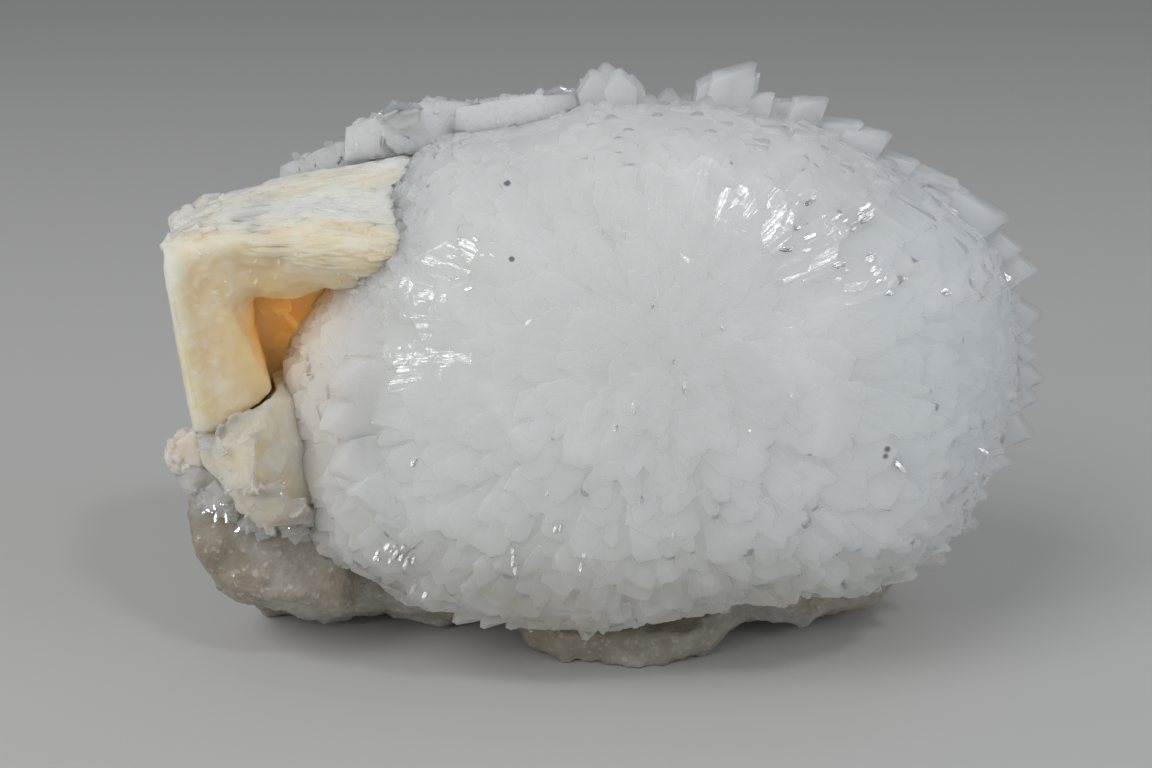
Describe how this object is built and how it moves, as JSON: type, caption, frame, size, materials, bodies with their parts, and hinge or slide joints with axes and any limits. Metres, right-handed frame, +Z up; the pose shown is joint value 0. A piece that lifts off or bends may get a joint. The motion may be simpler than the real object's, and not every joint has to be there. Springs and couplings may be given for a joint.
{
  "type": "goosecreekite specimen",
  "caption": "Natural mineral specimen: a milky white dome of radiating bladed crystals beside a cream crystal sheaf, on a block of quartz rock that stands upright.",
  "frame": {"origin": "middle of the bounding box, on the surface that the specimen stands on", "axes": "+X to the right of the pictured face, +Y to the back, +Z up; the white dome faces -Y"},
  "size_m": [0.065, 0.035, 0.0463],
  "materials": {
    "sugary_quartz": "rough sugary grain",
    "milky_goosecreekite": "translucent, glassy to pearly",
    "cream_sheaf": "silky, fibrous",
    "peach_glassy": "glassy, translucent",
    "pale_knob": "waxy, translucent",
    "clear_crystal": "glassy, see-through at thin edges"
  },
  "bodies": {
    "root": {"matrix": "sugary_quartz", "goosecreekite_spray": "milky_goosecreekite", "cream_crystal": "cream_sheaf", "peach_crystal": "peach_glassy", "side_knob": "pale_knob", "clear_ledge": "clear_crystal"}
  },
  "joints": []
}
